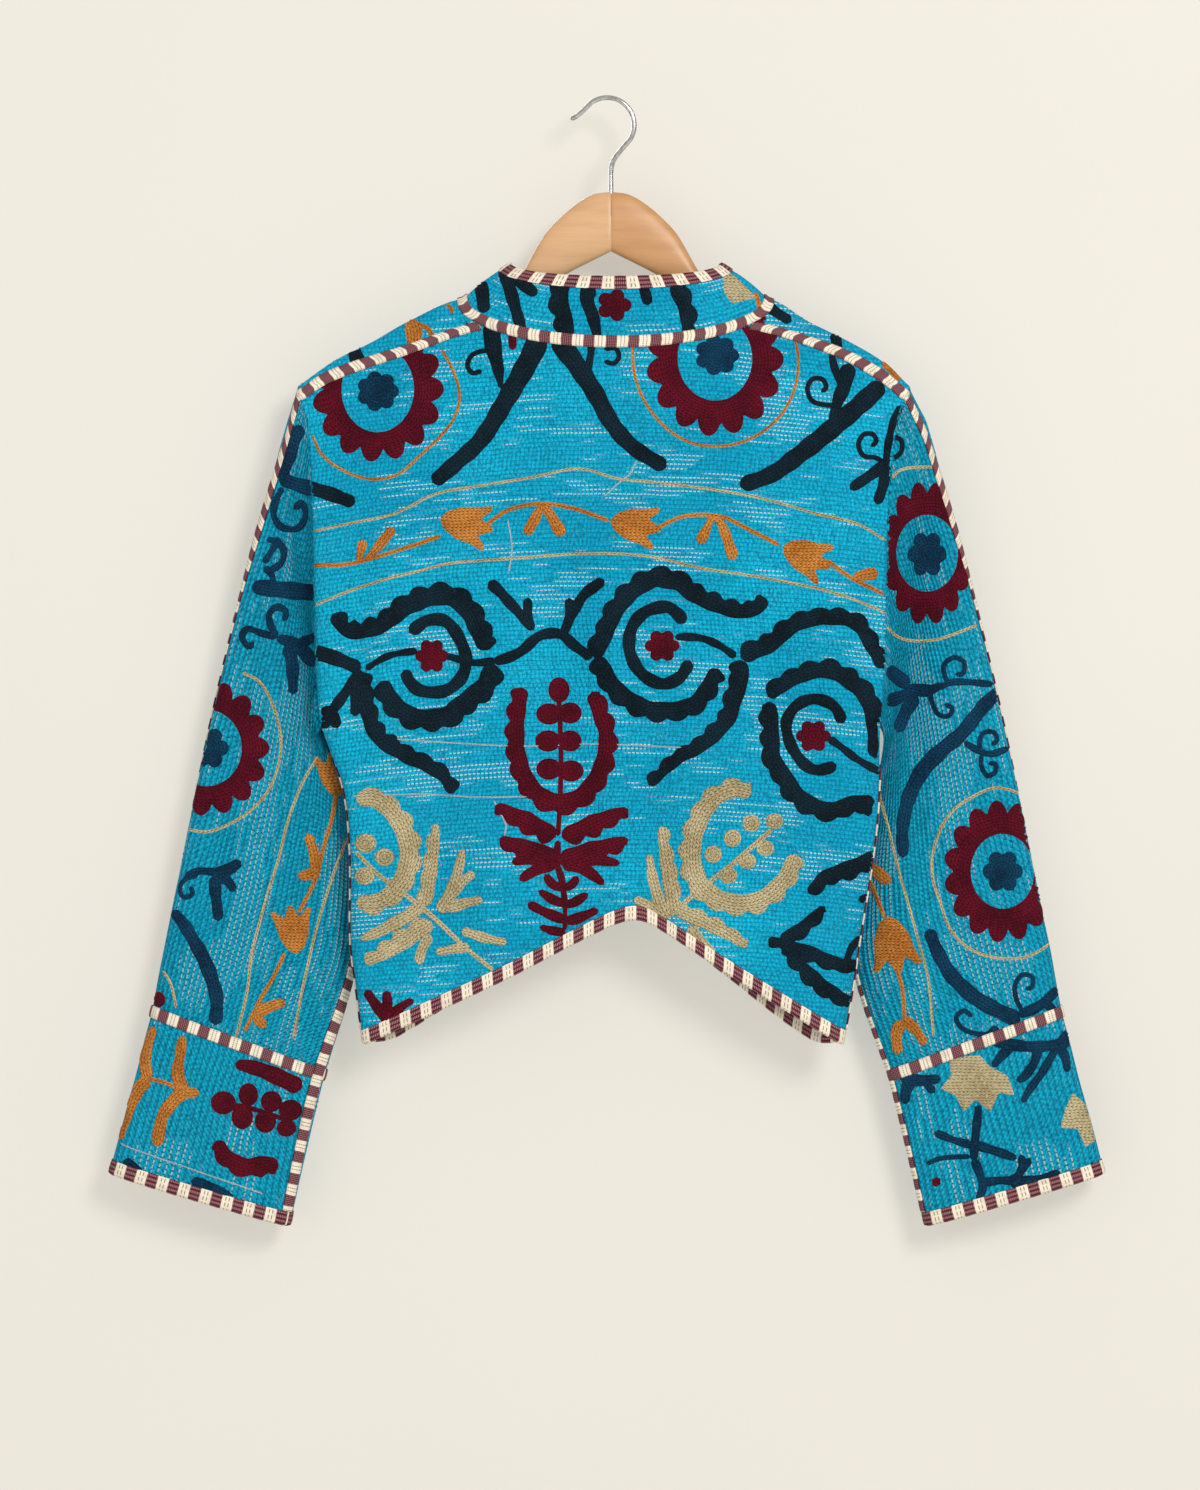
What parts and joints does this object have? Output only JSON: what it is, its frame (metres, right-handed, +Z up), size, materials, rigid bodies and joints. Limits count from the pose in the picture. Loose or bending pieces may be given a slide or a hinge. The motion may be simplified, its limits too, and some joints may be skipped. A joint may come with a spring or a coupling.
{
  "type": "kantha jacket on a wooden hanger",
  "caption": "Cropped quilted jacket with a stand collar, wide cuffs, striped bound seams and an inverted V hem, hung on a wooden hanger by its wire hook.",
  "frame": {"origin": "inside of the top of the hook, where a pin or rail holds the hanger", "axes": "+Z up, +X to the wearer's right, +Y towards the wearer's front; the back of the jacket faces -Y"},
  "size_m": [0.8034, 0.0769, 0.911],
  "materials": {
    "quilted_cloth": "matte quilted cotton with running stitch",
    "striped_binding": "matte woven strip of maroon and cream blocks",
    "light_wood": "satin lacquer",
    "dark_wood": "satin lacquer",
    "bright_wire": "polished"
  },
  "bodies": {
    "root": {"back": "quilted_cloth", "collar": "quilted_cloth", "front_left": "quilted_cloth", "front_right": "quilted_cloth", "sleeve_back_left": "quilted_cloth", "sleeve_back_right": "quilted_cloth", "sleeve_front_left": "quilted_cloth", "sleeve_front_right": "quilted_cloth", "cuff_left": "quilted_cloth", "cuff_right": "quilted_cloth", "binding_neck_seam": "striped_binding", "binding_collar_top": "striped_binding", "binding_hem_back": "striped_binding", "binding_shoulder_left": "striped_binding", "binding_shoulder_right": "striped_binding", "binding_side_left": "striped_binding", "binding_side_right": "striped_binding", "binding_underarm_left": "striped_binding", "binding_underarm_right": "striped_binding", "binding_cuff_seam_left": "striped_binding", "binding_cuff_seam_right": "striped_binding", "binding_cuff_end_left": "striped_binding", "binding_cuff_end_right": "striped_binding", "binding_front_edge_left": "striped_binding", "binding_front_edge_right": "striped_binding", "binding_hem_front_left": "striped_binding", "binding_hem_front_right": "striped_binding", "hanger_left": "light_wood", "hanger_right": "dark_wood", "hook": "bright_wire"}
  },
  "joints": []
}
